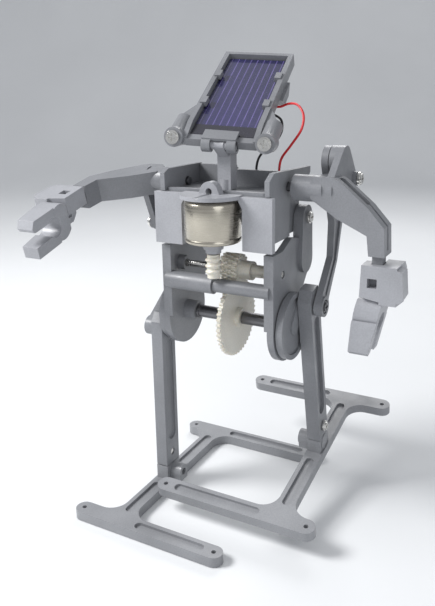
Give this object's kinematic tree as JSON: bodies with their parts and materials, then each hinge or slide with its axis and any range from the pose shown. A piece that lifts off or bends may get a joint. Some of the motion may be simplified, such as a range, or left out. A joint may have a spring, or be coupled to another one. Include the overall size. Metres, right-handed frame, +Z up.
{
  "type": "solar walking robot",
  "caption": "Grey plastic walking robot with a tilting solar panel head, two cranked legs on wide flat feet, swinging arms with grippers and an open gear train.",
  "frame": {"origin": "on the ground, midway between the side plates and straight below the crankshaft axis", "axes": "+X to the robot's left, +Y to its back (the front faces -Y), +Z up"},
  "size_m": [0.1572, 0.1332, 0.2114],
  "materials": {
    "grey_plastic": "satin mid-grey moulded plastic",
    "pale_plastic": "satin light grey moulded plastic",
    "cream_plastic": "unpainted cream acetal",
    "bright_steel": "bright drawn steel",
    "dark_steel": "dark oiled steel",
    "screw_steel": "zinc plated screws",
    "solar_film": "dark blue-violet cell strips under clear resin",
    "red_vinyl": "red insulated wire",
    "black_vinyl": "black insulated wire"
  },
  "bodies": {
    "chassis": {"left_side_plate": "grey_plastic", "right_side_plate": "grey_plastic", "left_plate_screw": "screw_steel", "right_plate_screw": "screw_steel", "upper_housing": "grey_plastic", "front_cover": "pale_plastic", "motor_can": "bright_steel", "motor_bush": "pale_plastic", "wheel_axle": "bright_steel", "left_shoulder_axle": "dark_steel", "right_shoulder_axle": "dark_steel", "neck_post": "pale_plastic", "red_wire": "red_vinyl", "black_wire": "black_vinyl"},
    "motor_rotor": {"motor_worm": "cream_plastic"},
    "reduction_wheel": {"worm_wheel": "cream_plastic"},
    "crank": {"crankshaft": "bright_steel", "crank_gear": "cream_plastic", "left_sleeve": "dark_steel", "right_sleeve": "dark_steel", "left_crank_disc": "grey_plastic", "right_crank_disc": "grey_plastic"},
    "left_leg_unit": {"left_leg": "grey_plastic", "left_foot": "grey_plastic", "left_ankle_screw": "screw_steel"},
    "right_leg_unit": {"right_leg": "grey_plastic", "right_foot": "grey_plastic", "right_ankle_screw": "screw_steel"},
    "left_arm_unit": {"left_arm": "grey_plastic", "left_hand": "pale_plastic", "left_lever_screw": "screw_steel"},
    "right_arm_unit": {"right_arm": "grey_plastic", "right_hand": "pale_plastic", "right_lever_screw": "screw_steel"},
    "left_rod_unit": {"left_rod": "grey_plastic", "left_rod_screw": "dark_steel"},
    "right_rod_unit": {"right_rod": "grey_plastic", "right_rod_screw": "dark_steel"},
    "panel": {"panel_frame": "grey_plastic", "solar_cell": "solar_film", "left_panel_screw": "screw_steel", "right_panel_screw": "screw_steel"}
  },
  "joints": [
    {"name": "crank_spin", "type": "hinge", "parent": "chassis", "child": "crank", "pos_m": [0, 0, 0.0916], "axis": [1, 0, 0], "continuous": true},
    {"name": "left_leg_swing", "type": "hinge", "parent": "crank", "child": "left_leg_unit", "pos_m": [0.0345, 0.00707, 0.10003], "axis": [1, 0, 0], "continuous": true},
    {"name": "right_leg_swing", "type": "hinge", "parent": "crank", "child": "right_leg_unit", "pos_m": [-0.0345, -0.00707, 0.08317], "axis": [1, 0, 0], "continuous": true},
    {"name": "reduction_spin", "type": "hinge", "parent": "chassis", "child": "reduction_wheel", "pos_m": [0, -0.0055, 0.1162], "axis": [1, 0, 0], "continuous": true},
    {"name": "motor_spin", "type": "hinge", "parent": "chassis", "child": "motor_rotor", "pos_m": [0, -0.0173, 0.12], "axis": [0, 0, 1], "continuous": true},
    {"name": "left_arm_swing", "type": "hinge", "parent": "chassis", "child": "left_arm_unit", "pos_m": [0.036, 0.0025, 0.153], "axis": [1, 0, 0], "range_deg": [-80, 5]},
    {"name": "right_arm_swing", "type": "hinge", "parent": "chassis", "child": "right_arm_unit", "pos_m": [-0.036, 0.0025, 0.153], "axis": [1, 0, 0], "range_deg": [-4, 81]},
    {"name": "left_rod_pivot", "type": "hinge", "parent": "left_arm_unit", "child": "left_rod_unit", "pos_m": [0.0397, 0.01543, 0.16357], "axis": [1, 0, 0], "range_deg": [-5, 70]},
    {"name": "right_rod_pivot", "type": "hinge", "parent": "right_arm_unit", "child": "right_rod_unit", "pos_m": [-0.0397, 0.01588, 0.14301], "axis": [1, 0, 0], "range_deg": [-70, 5]},
    {"name": "panel_tilt", "type": "hinge", "parent": "chassis", "child": "panel", "pos_m": [0.00002, -0.00998, 0.17101], "axis": [0.983, 0.1733, -0.061], "range_deg": [-12, 45], "deforming": ["red_wire", "black_wire"]}
  ],
  "couplings": [
    {"joint": "left_leg_swing", "follows": "crank_spin", "ratio": -1},
    {"joint": "right_leg_swing", "follows": "crank_spin", "ratio": -1},
    {"joint": "reduction_spin", "follows": "crank_spin", "ratio": -2.5},
    {"joint": "motor_spin", "follows": "crank_spin", "ratio": 45},
    {"joint": "left_rod_pivot", "follows": "left_arm_swing", "ratio": -0.822},
    {"joint": "right_rod_pivot", "follows": "right_arm_swing", "ratio": -0.822}
  ]
}
